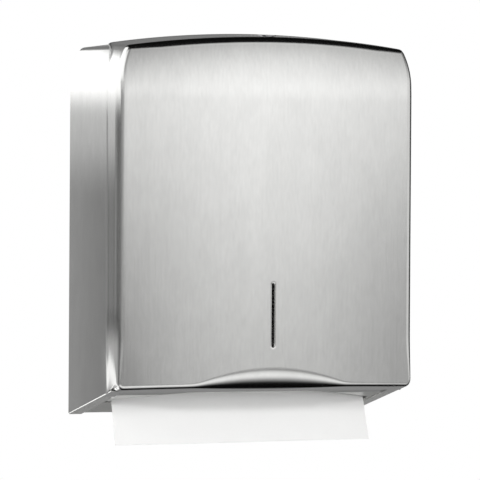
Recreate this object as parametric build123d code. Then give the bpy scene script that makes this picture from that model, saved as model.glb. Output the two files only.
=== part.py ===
"""Wall dispenser for folded paper towels, in brushed sheet steel.

Lengths are in millimetres. +Z is up, +X is to the right of someone facing the front,
the front looks to -Y and the wall is the plane Y = 0. The origin is the middle of the
four wall screws. Heights named *_H are measured up from the lowest back edge.
"""
import os
from math import acos, asin, atan2, cos, degrees, hypot, radians, sin, sqrt, tan

from build123d import *

# Overall sizes of the closed dispenser
WIDTH = 275.0
HEIGHT = 330.0
DEPTH = 133.0
SHEET = 1.0
SCREWS_BELOW_TOP = 160.0
SCREW_ROWS_H = HEIGHT - SCREWS_BELOW_TOP
BASE = -SCREW_ROWS_H
FAR = 2 * (WIDTH + HEIGHT)

# Outline seen from the front: straight sides, soft shoulders and a low arch
COVER_HALF = WIDTH / 2
SIDE_GAP = 0.5
CASING_HALF = COVER_HALF - SHEET - SIDE_GAP
SHOULDER_R = 67.0
ARCH_R = 870.0
CORNER_R = 7.0
SHOULDER_DROP = 44.0
TOP_STEP = 3.3
COVER_REACH = 31.0
CASING_DEPTH = DEPTH - COVER_REACH

# Front of the cover: bowed in plan, leaning back a little at the top
BOW = 14.4
BOW_R = (COVER_HALF**2 + BOW**2) / (2 * BOW)
BOW_AXIS_Y = BOW_R - DEPTH
LEAN_BELOW_TOP = 50.0
LEAN_START_H = HEIGHT - LEAN_BELOW_TOP
LEAN_R = 150.0
TOP_FALL = 3.3
COVER_EDGE_R = 5.0

# Rear rim of the cover, nearly upright at the sides and swept back over the top
RIM_OVERLAP = 8.0
RIM_LEAN = 6.0
RIM_SWEEP = 20.0
RIM_BELOW_TOP = 12.0
RIM_LOW_Y = -CASING_DEPTH + RIM_OVERLAP
RIM_HIGH_Y = RIM_LOW_Y + RIM_LEAN
RIM_TOP_Y = RIM_HIGH_Y + RIM_SWEEP
RIM_TOP_H = HEIGHT - RIM_BELOW_TOP

# Slanted underside, rising towards the front
SLANT = 13.2
FLANGE = 12.0
BEND_R = 1.5
COVER_DROP = SHEET + SIDE_GAP
HINGE_AHEAD = 10.5
FLANGE_TAIL = 8.0
CORNER_TAIL = 3.5
CORNER_WIDE = 7.5
HINGE_Y = -CASING_DEPTH - HINGE_AHEAD
FLANGE_END_Y = HINGE_Y + FLANGE_TAIL
FLANGE_CORNER_Y = HINGE_Y + CORNER_TAIL
FLANGE_CORNER_X = COVER_HALF - CORNER_WIDE

# Grip rolled into the bottom edge of the cover, and the level slot above it
GRIP_HALF = 72.0
GRIP_END_R = 2.5
GRIP_MID_R = 20.0
GRIP_STATIONS = (-1.0, -2 / 3, -1 / 3, 0.0, 1 / 3, 2 / 3, 1.0)
GRIP_MARGIN = 6.0
LEVEL_SLOT_W = 3.6
LEVEL_SLOT_L = 55.0
LEVEL_SLOT_H = 89.5

# Towel slot between the floor plate and the lip
RAIL_ROOM = 18.0
TOWEL_HALF = CASING_HALF - RAIL_ROOM
MOUTH_SPARE = 4.0
MOUTH_HALF = TOWEL_HALF + MOUTH_SPARE
LIP_BEHIND_HINGE = 12.0
LIP_MID = 4.0
LIP_FRONT_Y = HINGE_Y + LIP_BEHIND_HINGE
MOUTH_FRONT_Y = LIP_FRONT_Y + LIP_MID
FLOOR_SHARE = 0.47
MOUTH_REAR_Y = -FLOOR_SHARE * CASING_DEPTH
MOUTH_END = 10.0
MOUTH_END_Y = MOUTH_REAR_Y - MOUTH_END
MOUTH_CORNER_R = 5.0
PLATE_GAP = 1.0
PLATE_HALF = CASING_HALF - SHEET - SIDE_GAP
UPSTAND = 12.0

# Wall plate and its screws
SCREW_SPACING_X = 180.0
SCREW_SPACING_Z = 180.0
SCREW_HOLE_R = 3.25
SEAT_GAP = 0.1
BACK_FLANGE = 10.0

# Towels and the rails beside them
STACK_BACK_Y = -4.0
STACK_INSIDE = 7.0
STACK_FRONT_Y = -CASING_DEPTH + STACK_INSIDE
STACK_REST = 0.3
STACK_SHARE = 0.62
STACK_TALL = STACK_SHARE * HEIGHT
HOLLOW_FRONT_Y = STACK_FRONT_Y + LIP_MID
HOLLOW_BACK_Y = MOUTH_REAR_Y - PLATE_GAP
HOLLOW_TALL = 10.0
SHEET_LEAN = 15.0
SHEET_THICK = 1.0
SHEET_AHEAD = 9.6
SHEET_MOUTH_Y = MOUTH_REAR_Y - SHEET_AHEAD
SHEET_BELOW = 37.5
SHEET_ABOVE = 58.0
SLIT = 2.0
RAIL_GAP = 1.0
RAIL_WIDE = 30.0
RAIL_FOOT = 8.0
RAIL_MID_Y = (STACK_FRONT_Y + STACK_BACK_Y) / 2
RAIL_LOW_H = 45.0
RAIL_BELOW_TOP = 55.0
RAIL_HIGH_H = HEIGHT - RAIL_BELOW_TOP

# Hinge at the lower corners
HINGE_RISE = 4.6
HINGE_H = -HINGE_Y * tan(radians(SLANT)) + HINGE_RISE
LEAF = 2.0
LEAF_R = 4.0
HINGE_PIN_R = 2.0
PIN_HEAD_R = 3.4
PIN_HEAD = 1.0
RUN_GAP = 0.05
WASHER = 0.4
BRACKET_TOP = 32.0
BRACKET_BACK = 24.0
BRACKET_STEP = 14.0
LUG_FOOT = 13.0
LUG_AHEAD = 4.5
LUG_BEHIND = 3.0
LUG_FRONT_Y = HINGE_Y - LUG_AHEAD
LUG_BACK_Y = HINGE_Y + LUG_BEHIND

# Cam lock in the top of the cover, with its keeper and the rest pads
LOCK_IN = 19.0
LOCK_Y = -DEPTH + LOCK_IN
LOCK_HEAD_R = 8.0
LOCK_HEAD = 0.7
LOCK_BODY_R = 6.0
LOCK_BODY = 15.0
LOCK_HOLE_R = 6.1
PLUG_R = 4.0
KEY_SLOT_L = 5.0
KEY_SLOT_W = 1.2
KEY_SLOT_DEEP = 3.0
SPIGOT_R = 3.0
SPIGOT = 3.0
CAM = 1.6
CAM_HALF = 4.0
CAM_REACH = 14.0
CAM_GAP = 0.4
NUT = 3.5
NUT_ACROSS = 15.0
LOCK_WASHER = 0.6
LOCK_WASHER_R = 8.2
SCREW_SHANK_R = 1.5
SCREW_SHANK = 4.0
SCREW_HEAD_R = 3.2
SCREW_HEAD = 1.8
KEEPER = 1.5
KEEPER_X = 10.0
KEEPER_WIDE = 6.0
KEEPER_TAIL = 30.0
KEEPER_HOOK = 7.0
KEEPER_BACK_Y = LOCK_Y + KEEPER_TAIL
KEEPER_FRONT_Y = LOCK_Y - KEEPER_HOOK
KEEPER_LONG = 17.5
PAD_X = 60.0
PAD_LONG = 14.0
PAD_WIDE = 8.0
PAD_IN = 18.0
PAD_Y = RIM_TOP_Y - PAD_IN
PAD = 0.9

# The underside and the top of the cover as working planes
TAN_SLANT = tan(radians(SLANT))
COS_SLANT = cos(radians(SLANT))
FLOOR = Plane((0, 0, BASE), x_dir=(1, 0, 0), z_dir=(0, sin(radians(SLANT)), COS_SLANT))
TAN_FALL = tan(radians(TOP_FALL))
CASING_APEX_H = HEIGHT - TOP_STEP


def up(height):
    """World Z of a height above the lowest back edge."""
    return BASE + height


def slope(y):
    """Distance along the slanted underside for a world Y."""
    return y / COS_SLANT


def floor_h(y):
    """Height of the slanted underside at a world Y."""
    return -y * TAN_SLANT


def cover_top_h(y):
    """Height of the middle of the cover's top at a world Y."""
    return HEIGHT + (y - RIM_TOP_Y) * TAN_FALL


def mirrored(shape):
    """The same piece on the other side."""
    return mirror(shape, about=Plane.YZ)


def outline(half, shoulder_z, shoulder_r, apex_z, arch_r, corner_r):
    """Front-view outline, from well below the underside up to the arch."""
    shoulder_x = half - shoulder_r
    arch_z = apex_z - arch_r
    across = hypot(shoulder_x, shoulder_z - arch_z)
    lean = atan2(shoulder_z - arch_z, shoulder_x)
    turn = acos((across**2 + arch_r**2 - shoulder_r**2) / (2 * across * arch_r))
    corner_x = arch_r * cos(lean - turn)
    corner_z = arch_z + arch_r * sin(lean - turn)
    half_turn = atan2(corner_z - shoulder_z, corner_x - shoulder_x) / 2
    mid_x = shoulder_x + shoulder_r * cos(half_turn)
    mid_z = shoulder_z + shoulder_r * sin(half_turn)
    foot_z = BASE - SHOULDER_DROP
    edges = [
        Line((-half, foot_z), (half, foot_z)),
        Line((half, foot_z), (half, shoulder_z)),
        ThreePointArc((half, shoulder_z), (mid_x, mid_z), (corner_x, corner_z)),
        ThreePointArc((corner_x, corner_z), (0, apex_z), (-corner_x, corner_z)),
        ThreePointArc((-corner_x, corner_z), (-mid_x, mid_z), (-half, shoulder_z)),
        Line((-half, shoulder_z), (-half, foot_z)),
    ]
    face = make_face(edges)
    corners = face.vertices().sort_by(Axis.Y)[-2:]
    return fillet(corners, corner_r)


def casing_outline(inset):
    """Outline of the casing, drawn in by a distance."""
    apex_z = up(CASING_APEX_H) - inset
    shoulder_z = up(CASING_APEX_H - SHOULDER_DROP)
    return outline(CASING_HALF - inset, shoulder_z, SHOULDER_R - inset, apex_z, ARCH_R - inset, CORNER_R - inset)


def below_floor(offset):
    """Everything under the slanted underside, which is first moved up by an offset."""
    return FLOOR * Pos(0, 0, offset - FAR / 2) * Box(FAR, FAR, FAR)


def floor_slab(x_min, x_max, y_front, y_back, low, high):
    """A flat strip parallel to the slanted underside, between two world Y."""
    length = slope(y_back) - slope(y_front)
    middle = (slope(y_back) + slope(y_front)) / 2
    place = Pos((x_min + x_max) / 2, middle, (low + high) / 2)
    return FLOOR * place * Box(x_max - x_min, length, high - low)


def sideways(points, x_min, x_max):
    """A solid with a polygon in the YZ plane, between two X."""
    face = make_face(Polyline(*points, close=True))
    return extrude(Plane.YZ.offset(x_min) * face, x_max - x_min)


def disc(plane, radius, low, high):
    """A round solid along the normal of a plane."""
    return plane * Pos(0, 0, (low + high) / 2) * Cylinder(radius, high - low)


def along_x(x_min, x_max, radius):
    """A round solid along the hinge line."""
    hinge_line = Plane((0, HINGE_Y, up(HINGE_H)), x_dir=(0, 1, 0), z_dir=(1, 0, 0))
    return disc(hinge_line, radius, x_min, x_max)


def casing_block(inset):
    """The casing as a full block, drawn in by a distance, with rounded bottom edges."""
    block = extrude(Plane.XZ * casing_outline(inset), CASING_DEPTH) - below_floor(inset)
    bends = [
        edge
        for edge in block.edges()
        if abs(abs(edge.center().X) - CASING_HALF + inset) < SHEET / 10
        and abs(FLOOR.to_local_coords(edge.center()).Z - inset) < SHEET / 10
    ]
    return fillet(bends, BEND_R - inset)


# Casing: sides and arched top in one sheet, with a flange along the slanted underside
flange_in_x = CASING_HALF - FLANGE
casing_wrap = casing_block(0) - casing_block(SHEET)
casing_wrap -= floor_slab(-flange_in_x, flange_in_x, -DEPTH, DEPTH, -FLANGE, FLANGE)

# Back plate: inside the casing, with four screw holes and a flange up each side
back_plate = extrude(Plane.XZ * casing_outline(SHEET + SEAT_GAP), SHEET)
back_plate -= below_floor(2 * SHEET + SEAT_GAP)
flange_low_h = 4 * UPSTAND
flange_high_h = CASING_APEX_H - SHOULDER_DROP - UPSTAND
back_side = CASING_HALF - SHEET
back_flange = Pos(back_side - SHEET / 2, -BACK_FLANGE / 2, up((flange_low_h + flange_high_h) / 2)) * Box(
    SHEET, BACK_FLANGE, flange_high_h - flange_low_h
)
back_plate += back_flange
back_plate += mirrored(back_flange)
for across in (-1, 1):
    for rise in (-1, 1):
        place = Pos(across * SCREW_SPACING_X / 2, 0, rise * SCREW_SPACING_Z / 2)
        back_plate -= place * Rot(90, 0, 0) * Cylinder(SCREW_HOLE_R, 4 * SHEET)

# Floor plate: behind the towel slot, resting on the flanges, turned up against the back
floor_back_y = -SHEET - 2 * SEAT_GAP
floor_plate = floor_slab(-PLATE_HALF, PLATE_HALF, MOUTH_REAR_Y + PLATE_GAP, floor_back_y - SHEET, SHEET, 2 * SHEET)
upstand_low_h = floor_h(floor_back_y) + SHEET
upstand_mid_h = upstand_low_h + UPSTAND / 2
upstand = Pos(0, floor_back_y - SHEET / 2, up(upstand_mid_h)) * Box(2 * PLATE_HALF, SHEET, UPSTAND)
floor_plate += upstand - below_floor(SHEET)

# Towel lip: in front of the slot, cut out in a smile
mouth_edges = [
    ThreePointArc(
        (-MOUTH_HALF, slope(MOUTH_END_Y)), (0, slope(MOUTH_FRONT_Y)), (MOUTH_HALF, slope(MOUTH_END_Y))
    ),
    Line((MOUTH_HALF, slope(MOUTH_END_Y)), (MOUTH_HALF, 0)),
    Line((MOUTH_HALF, 0), (-MOUTH_HALF, 0)),
    Line((-MOUTH_HALF, 0), (-MOUTH_HALF, slope(MOUTH_END_Y))),
]
mouth_face = make_face(mouth_edges)
mouth_face = fillet(mouth_face.vertices().sort_by(Axis.Y)[:2], MOUTH_CORNER_R)
towel_lip = floor_slab(-PLATE_HALF, PLATE_HALF, LIP_FRONT_Y, MOUTH_REAR_Y, SHEET, 2 * SHEET)
towel_lip -= extrude(FLOOR * mouth_face, 4 * SHEET)

# Side rails: hat sections on the casing sides, just clear of the towels
rail_face_x = TOWEL_HALF + RAIL_GAP
rail_wall_x = CASING_HALF - SHEET
rail_front_y = RAIL_MID_Y - RAIL_WIDE / 2
rail_back_y = RAIL_MID_Y + RAIL_WIDE / 2
rail_points = [
    (rail_wall_x, rail_front_y - RAIL_FOOT),
    (rail_wall_x - SHEET, rail_front_y - RAIL_FOOT),
    (rail_wall_x - SHEET, rail_front_y),
    (rail_face_x, rail_front_y),
    (rail_face_x, rail_back_y),
    (rail_wall_x - SHEET, rail_back_y),
    (rail_wall_x - SHEET, rail_back_y + RAIL_FOOT),
    (rail_wall_x, rail_back_y + RAIL_FOOT),
    (rail_wall_x, rail_back_y - SHEET),
    (rail_face_x + SHEET, rail_back_y - SHEET),
    (rail_face_x + SHEET, rail_front_y + SHEET),
    (rail_wall_x, rail_front_y + SHEET),
]
rail_section = make_face(Polyline(*rail_points, close=True))
guide_right = extrude(Plane.XY.offset(up(RAIL_LOW_H)) * rail_section, RAIL_HIGH_H - RAIL_LOW_H)
guide_left = mirrored(guide_right)


def cover_block(inset):
    """The cover as a full block, drawn in by a distance on every side but the rear."""
    half = COVER_HALF - inset
    rear_y = RIM_TOP_Y + SHOULDER_DROP
    apex_z = up(cover_top_h(rear_y)) - inset
    shoulder_z = up(cover_top_h(rear_y) - SHOULDER_DROP)
    face = outline(half, shoulder_z, SHOULDER_R - inset, apex_z, ARCH_R - inset, CORNER_R - inset)
    rear_plane = Plane((0, rear_y, 0), x_dir=(1, 0, 0), z_dir=(0, -1, 0))
    prism = extrude(rear_plane * face, DEPTH / cos(radians(TOP_FALL)), dir=(0, -1, -TAN_FALL))

    front_y = -DEPTH + inset
    lean_r = LEAN_R - inset
    lean_z = up(LEAN_START_H)
    high_z = lean_z + lean_r / 2
    lean_turn = asin(0.5)
    high_y = front_y + lean_r * (1 - cos(lean_turn))
    mid_y = front_y + lean_r * (1 - cos(lean_turn / 2))
    mid_z = lean_z + lean_r * sin(lean_turn / 2)
    low_z = BASE - SHOULDER_DROP
    edges = [
        Line((0, low_z), (front_y, low_z)),
        Line((front_y, low_z), (front_y, lean_z)),
        ThreePointArc((front_y, lean_z), (mid_y, mid_z), (high_y, high_z)),
        Line((high_y, high_z), (0, high_z)),
        Line((0, high_z), (0, low_z)),
    ]
    bow_axis = Axis((0, BOW_AXIS_Y, 0), (0, 0, 1))
    swing = 2 * degrees(asin(COVER_HALF / BOW_R))
    profile = (Plane.YZ * make_face(edges)).rotate(bow_axis, -swing)
    bowed = revolve(profile, bow_axis, 2 * swing)
    block = prism & bowed
    block -= below_floor(inset - COVER_DROP)

    def on_bottom(point):
        return abs(FLOOR.to_local_coords(point).Z - inset + COVER_DROP) < SHEET / 10

    def on_front(point):
        leaning = max(0, point.Z - lean_z)
        reach = hypot(point.X, point.Y - BOW_AXIS_Y)
        return abs(reach - BOW_R + inset + lean_r - sqrt(lean_r**2 - leaning**2)) < SHEET / 10

    rims = [
        edge
        for edge in block.edges()
        if on_front(edge @ 0) and on_front(edge @ 0.5) and on_front(edge @ 1)
        and not (on_bottom(edge @ 0) and on_bottom(edge @ 1))
        and not (abs((edge @ 0).Z - lean_z) < SHEET / 10 and abs((edge @ 1).Z - lean_z) < SHEET / 10)
    ]
    block = fillet(rims, COVER_EDGE_R - inset)
    bottoms = [
        edge
        for edge in block.edges()
        if on_bottom(edge @ 0) and on_bottom(edge @ 1) and edge.center().Y < rear_y - SHEET
    ]
    block = fillet(bottoms, BEND_R + COVER_DROP - inset)
    return block - grip_cutter(inset)


def grip_cutter(inset):
    """What the rolled-under grip takes off the bottom edge of a block."""
    open_turn = radians(90 + SLANT) / 2
    sections = []
    for station in GRIP_STATIONS:
        x = station * GRIP_HALF
        roll_r = GRIP_END_R + (GRIP_MID_R - GRIP_END_R) * (1 - station**2) - inset
        front_y = BOW_AXIS_Y - sqrt((BOW_R - inset) ** 2 - x**2)
        corner_z = up(floor_h(front_y)) + (inset - COVER_DROP) / COS_SLANT
        reach = roll_r / tan(open_turn)
        centre = Vector(front_y + roll_r, corner_z + reach)
        start = Vector(front_y, corner_z + reach)
        end = Vector(front_y + reach * COS_SLANT, corner_z - reach * sin(radians(SLANT)))
        middle = Vector(front_y, corner_z) - centre
        middle = centre + middle * (roll_r / middle.length)
        below = end + Vector(-sin(radians(SLANT)), -COS_SLANT) * GRIP_MARGIN
        ahead = start + Vector(-GRIP_MARGIN, 0)
        outer = Vector(ahead.X, below.Y)
        edges = [
            ThreePointArc(start, middle, end),
            Line(end, below),
            Line(below, outer),
            Line(outer, ahead),
            Line(ahead, start),
        ]
        sections.append(Plane.YZ.offset(x) * make_face(edges))
    return loft(sections)


# Front cover: a shell with an open rear, trimmed to its rim and to a short bottom flange
front_cover = cover_block(0) - cover_block(SHEET)
rim_face = make_face(
    [
        Line((RIM_LOW_Y, BASE - FLANGE), (RIM_HIGH_Y, up(HEIGHT - SHOULDER_DROP))),
        TangentArc(
            (RIM_HIGH_Y, up(HEIGHT - SHOULDER_DROP)),
            (RIM_TOP_Y, up(RIM_TOP_H)),
            tangent=(RIM_HIGH_Y - RIM_LOW_Y, HEIGHT - SHOULDER_DROP + FLANGE),
        ),
        Line((RIM_TOP_Y, up(RIM_TOP_H)), (RIM_TOP_Y, up(HEIGHT + FLANGE))),
        Line((RIM_TOP_Y, up(HEIGHT + FLANGE)), (0, up(HEIGHT + FLANGE))),
        Line((0, up(HEIGHT + FLANGE)), (0, BASE - FLANGE)),
        Line((0, BASE - FLANGE), (RIM_LOW_Y, BASE - FLANGE)),
    ]
)
front_cover -= extrude(Plane.YZ.offset(-WIDTH) * rim_face, 2 * WIDTH)
side_foot = BEND_R + SEAT_GAP
front_cover -= floor_slab(-WIDTH, WIDTH, FLANGE_END_Y, 0, -FLANGE, side_foot)
corner_notch = floor_slab(FLANGE_CORNER_X, WIDTH, FLANGE_CORNER_Y, 0, -FLANGE, side_foot)
front_cover -= corner_notch
front_cover -= mirrored(corner_notch)
slot_plane = Plane((0, -DEPTH, up(LEVEL_SLOT_H)), x_dir=(0, 0, 1), z_dir=(0, -1, 0))
level_slot = extrude(slot_plane * SlotOverall(LEVEL_SLOT_L, LEVEL_SLOT_W), 4 * SHEET, both=True)
front_cover -= level_slot
lock_turn = radians(TOP_FALL)
lock_plane = Plane(
    (0, LOCK_Y, up(cover_top_h(LOCK_Y))), x_dir=(1, 0, 0), z_dir=(0, -sin(lock_turn), cos(lock_turn))
)
front_cover -= disc(lock_plane, LOCK_HOLE_R, -4 * SHEET, 4 * SHEET)

# Hinge: a bracket, pin and washer on the casing and a lug on the cover, each side
bracket_out_x = CASING_HALF - SHEET
bracket_in_x = bracket_out_x - LEAF
hinge_z = up(HINGE_H)
bracket_points = [
    (HINGE_Y - LEAF_R, hinge_z),
    (HINGE_Y - LEAF_R, hinge_z + BRACKET_TOP),
    (HINGE_Y + BRACKET_BACK, hinge_z + BRACKET_TOP),
    (HINGE_Y + BRACKET_BACK, hinge_z + BRACKET_STEP),
    (HINGE_Y + LEAF_R, hinge_z + HINGE_PIN_R),
    (HINGE_Y, hinge_z),
]
hinge_bracket_right = sideways(bracket_points, bracket_in_x, bracket_out_x)
hinge_bracket_right += along_x(bracket_in_x, bracket_out_x, LEAF_R)
hinge_bracket_right -= along_x(bracket_in_x - LEAF, bracket_out_x + LEAF, HINGE_PIN_R)
washer_in_x = bracket_in_x - WASHER
hinge_washer_right = along_x(washer_in_x, bracket_in_x, LEAF_R)
hinge_washer_right -= along_x(washer_in_x - LEAF, bracket_in_x + LEAF, HINGE_PIN_R + RUN_GAP)
lug_out_x = washer_in_x - 2 * RUN_GAP
lug_in_x = lug_out_x - LEAF
hinge_pin_right = along_x(lug_in_x - 2 * RUN_GAP, bracket_out_x, HINGE_PIN_R)
hinge_pin_right += along_x(lug_in_x - 2 * RUN_GAP - PIN_HEAD, lug_in_x - 2 * RUN_GAP, PIN_HEAD_R)
flange_top = SHEET - COVER_DROP
ear_points = [
    (LUG_FRONT_Y, up(floor_h(LUG_FRONT_Y) + flange_top + LEAF / 2)),
    (LUG_BACK_Y, up(floor_h(LUG_BACK_Y) + flange_top + LEAF / 2)),
    (HINGE_Y + LEAF_R, hinge_z),
    (HINGE_Y - LEAF_R, hinge_z),
]
cover_lug_right = sideways(ear_points, lug_in_x, lug_out_x)
cover_lug_right += along_x(lug_in_x, lug_out_x, LEAF_R)
lug_foot = floor_slab(lug_out_x - LUG_FOOT, lug_out_x, LUG_FRONT_Y, LUG_BACK_Y, flange_top, flange_top + LEAF)
cover_lug_right += lug_foot
cover_lug_right -= below_floor(flange_top)
cover_lug_right -= along_x(lug_in_x - PIN_HEAD - LEAF, lug_in_x, PIN_HEAD_R + SIDE_GAP)
cover_lug_right -= along_x(lug_in_x - LEAF, lug_out_x + LEAF, HINGE_PIN_R + RUN_GAP)
hinge_bracket_left = mirrored(hinge_bracket_right)
hinge_washer_left = mirrored(hinge_washer_right)
hinge_pin_left = mirrored(hinge_pin_right)
cover_lug_left = mirrored(cover_lug_right)

# Cam lock: barrel, washer and nut on the cover, plug, cam and screw that turn in it
lock_barrel = disc(lock_plane, LOCK_HEAD_R, 0, LOCK_HEAD) + disc(lock_plane, LOCK_BODY_R, -LOCK_BODY, 0)
lock_barrel -= disc(lock_plane, PLUG_R + RUN_GAP, -2 * LOCK_BODY, LOCK_BODY)
washer_top = -SHEET - SEAT_GAP
nut_top = washer_top - LOCK_WASHER
lock_washer = disc(lock_plane, LOCK_WASHER_R, nut_top, washer_top)
lock_washer -= disc(lock_plane, LOCK_BODY_R + RUN_GAP, nut_top - NUT, 0)
nut_face = RegularPolygon(NUT_ACROSS / 2, 6, major_radius=False)
lock_nut = extrude(lock_plane.offset(nut_top - NUT) * nut_face, NUT)
lock_nut -= disc(lock_plane, LOCK_BODY_R + RUN_GAP, nut_top - 2 * NUT, 0)
spigot_low = -LOCK_BODY - SPIGOT
lock_plug = disc(lock_plane, PLUG_R, -LOCK_BODY, LOCK_HEAD) + disc(lock_plane, SPIGOT_R, spigot_low, -LOCK_BODY)
lock_plug -= lock_plane * Pos(0, 0, LOCK_HEAD) * Box(KEY_SLOT_W, KEY_SLOT_L, 2 * KEY_SLOT_DEEP)
lock_plug -= disc(lock_plane, SCREW_SHANK_R + RUN_GAP, spigot_low - SPIGOT, spigot_low + SCREW_SHANK + CAM_GAP)
cam_low = spigot_low + SPIGOT - CAM_GAP - CAM
cam_face = Circle(CAM_HALF + SHEET) + Pos(0, CAM_REACH / 2) * Rectangle(2 * CAM_HALF, CAM_REACH)
cam_face -= Circle(SPIGOT_R + RUN_GAP)
lock_cam = extrude(lock_plane.offset(cam_low) * cam_face, CAM)
cam_screw = disc(lock_plane, SCREW_HEAD_R + SHEET, spigot_low - SCREW_HEAD, spigot_low)
cam_screw += disc(lock_plane, SCREW_SHANK_R, spigot_low, spigot_low + SCREW_SHANK)

# Keeper: a hook under the casing top that the cam turns behind
keeper_right_x = KEEPER_X + KEEPER_WIDE
casing_under_h = CASING_APEX_H - SHEET - keeper_right_x**2 / (2 * ARCH_R)
keeper_top_h = casing_under_h - SEAT_GAP
keeper_points = [
    (KEEPER_BACK_Y, up(keeper_top_h)),
    (KEEPER_FRONT_Y, up(keeper_top_h)),
    (KEEPER_FRONT_Y, up(keeper_top_h - KEEPER_LONG)),
    (KEEPER_FRONT_Y + KEEPER, up(keeper_top_h - KEEPER_LONG)),
    (KEEPER_FRONT_Y + KEEPER, up(keeper_top_h - KEEPER)),
    (KEEPER_BACK_Y, up(keeper_top_h - KEEPER)),
]
keeper = sideways(keeper_points, KEEPER_X, keeper_right_x)

# Rest pads: rubber, on the casing top under the cover
pad_h = CASING_APEX_H - PAD_X**2 / (2 * ARCH_R)
pad_tilt = degrees(asin(PAD_X / ARCH_R))
rest_pad = Pos(PAD_X, PAD_Y, up(pad_h)) * Rot(0, pad_tilt, 0) * Pos(0, 0, PAD / 2 + RUN_GAP) * Box(
    PAD_LONG, PAD_WIDE, PAD
)
rest_pads = Compound(children=[rest_pad, mirrored(rest_pad)])

# Towels: a slanted stack with a hollow over the slot, and the sheet that hangs from it
stack_low = 2 * SHEET + STACK_REST


def stack_h(y):
    """Height of the bottom of the stack at a world Y."""
    return floor_h(y) + stack_low / COS_SLANT


stack_points = [
    (STACK_BACK_Y, up(stack_h(STACK_BACK_Y))),
    (HOLLOW_BACK_Y, up(stack_h(HOLLOW_BACK_Y))),
    (HOLLOW_BACK_Y, up(stack_h(HOLLOW_BACK_Y) + HOLLOW_TALL)),
    (HOLLOW_FRONT_Y, up(stack_h(HOLLOW_FRONT_Y) + HOLLOW_TALL)),
    (HOLLOW_FRONT_Y, up(stack_h(HOLLOW_FRONT_Y))),
    (STACK_FRONT_Y, up(stack_h(STACK_FRONT_Y))),
    (STACK_FRONT_Y, up(stack_h(STACK_FRONT_Y) + STACK_TALL)),
    (STACK_BACK_Y, up(stack_h(STACK_BACK_Y) + STACK_TALL)),
]
sheet_z = up(floor_h(SHEET_MOUTH_Y))
sheet_plane = Plane((0, SHEET_MOUTH_Y, sheet_z)).rotated((-SHEET_LEAN, 0, 0))
towel_stack = sideways(stack_points, -TOWEL_HALF, TOWEL_HALF)
slit_top = SHEET_ABOVE + SLIT
towel_stack -= sheet_plane * Pos(0, 0, slit_top / 2) * Box(3 * TOWEL_HALF, SLIT, slit_top)
sheet_long = SHEET_ABOVE + SHEET_BELOW
sheet_mid = (SHEET_ABOVE - SHEET_BELOW) / 2
hanging_towel = sheet_plane * Pos(0, 0, sheet_mid) * Box(2 * TOWEL_HALF, SHEET_THICK, sheet_long)

pieces = {
    "back_plate": back_plate,
    "casing_wrap": casing_wrap,
    "floor_plate": floor_plate,
    "towel_lip": towel_lip,
    "guide_left": guide_left,
    "guide_right": guide_right,
    "hinge_bracket_left": hinge_bracket_left,
    "hinge_bracket_right": hinge_bracket_right,
    "hinge_pin_left": hinge_pin_left,
    "hinge_pin_right": hinge_pin_right,
    "hinge_washer_left": hinge_washer_left,
    "hinge_washer_right": hinge_washer_right,
    "keeper": keeper,
    "rest_pads": rest_pads,
    "towel_stack": towel_stack,
    "hanging_towel": hanging_towel,
    "front_cover": front_cover,
    "cover_lug_left": cover_lug_left,
    "cover_lug_right": cover_lug_right,
    "lock_barrel": lock_barrel,
    "lock_washer": lock_washer,
    "lock_nut": lock_nut,
    "lock_plug": lock_plug,
    "lock_cam": lock_cam,
    "cam_screw": cam_screw,
}
os.makedirs("parts", exist_ok=True)
for name, shape in pieces.items():
    export_step(shape, f"parts/{name}.step")
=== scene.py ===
import math

import bmesh
import bpy
import numpy as np
from mathutils import Matrix, Vector


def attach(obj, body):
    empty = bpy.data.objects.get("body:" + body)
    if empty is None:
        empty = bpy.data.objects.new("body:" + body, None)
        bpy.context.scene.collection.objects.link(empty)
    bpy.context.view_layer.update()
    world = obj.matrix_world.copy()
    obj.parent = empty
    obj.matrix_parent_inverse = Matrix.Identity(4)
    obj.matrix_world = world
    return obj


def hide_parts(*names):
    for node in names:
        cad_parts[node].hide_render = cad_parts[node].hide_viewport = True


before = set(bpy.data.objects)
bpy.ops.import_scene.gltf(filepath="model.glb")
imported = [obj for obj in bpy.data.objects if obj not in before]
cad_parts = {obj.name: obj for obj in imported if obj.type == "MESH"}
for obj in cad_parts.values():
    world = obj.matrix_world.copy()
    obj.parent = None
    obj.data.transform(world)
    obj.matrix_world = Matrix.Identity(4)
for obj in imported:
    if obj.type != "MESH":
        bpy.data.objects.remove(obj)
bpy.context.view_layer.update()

# The casing: one sheet of brushed stainless steel, 1 mm thick, wrapped over the sides and the arched top.
# It is turned inwards along the slanted underside and welded to the edges of the wall plate.
# Its grain runs up the sides and on across the top, as the sheet was brushed before it was bent.


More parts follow.
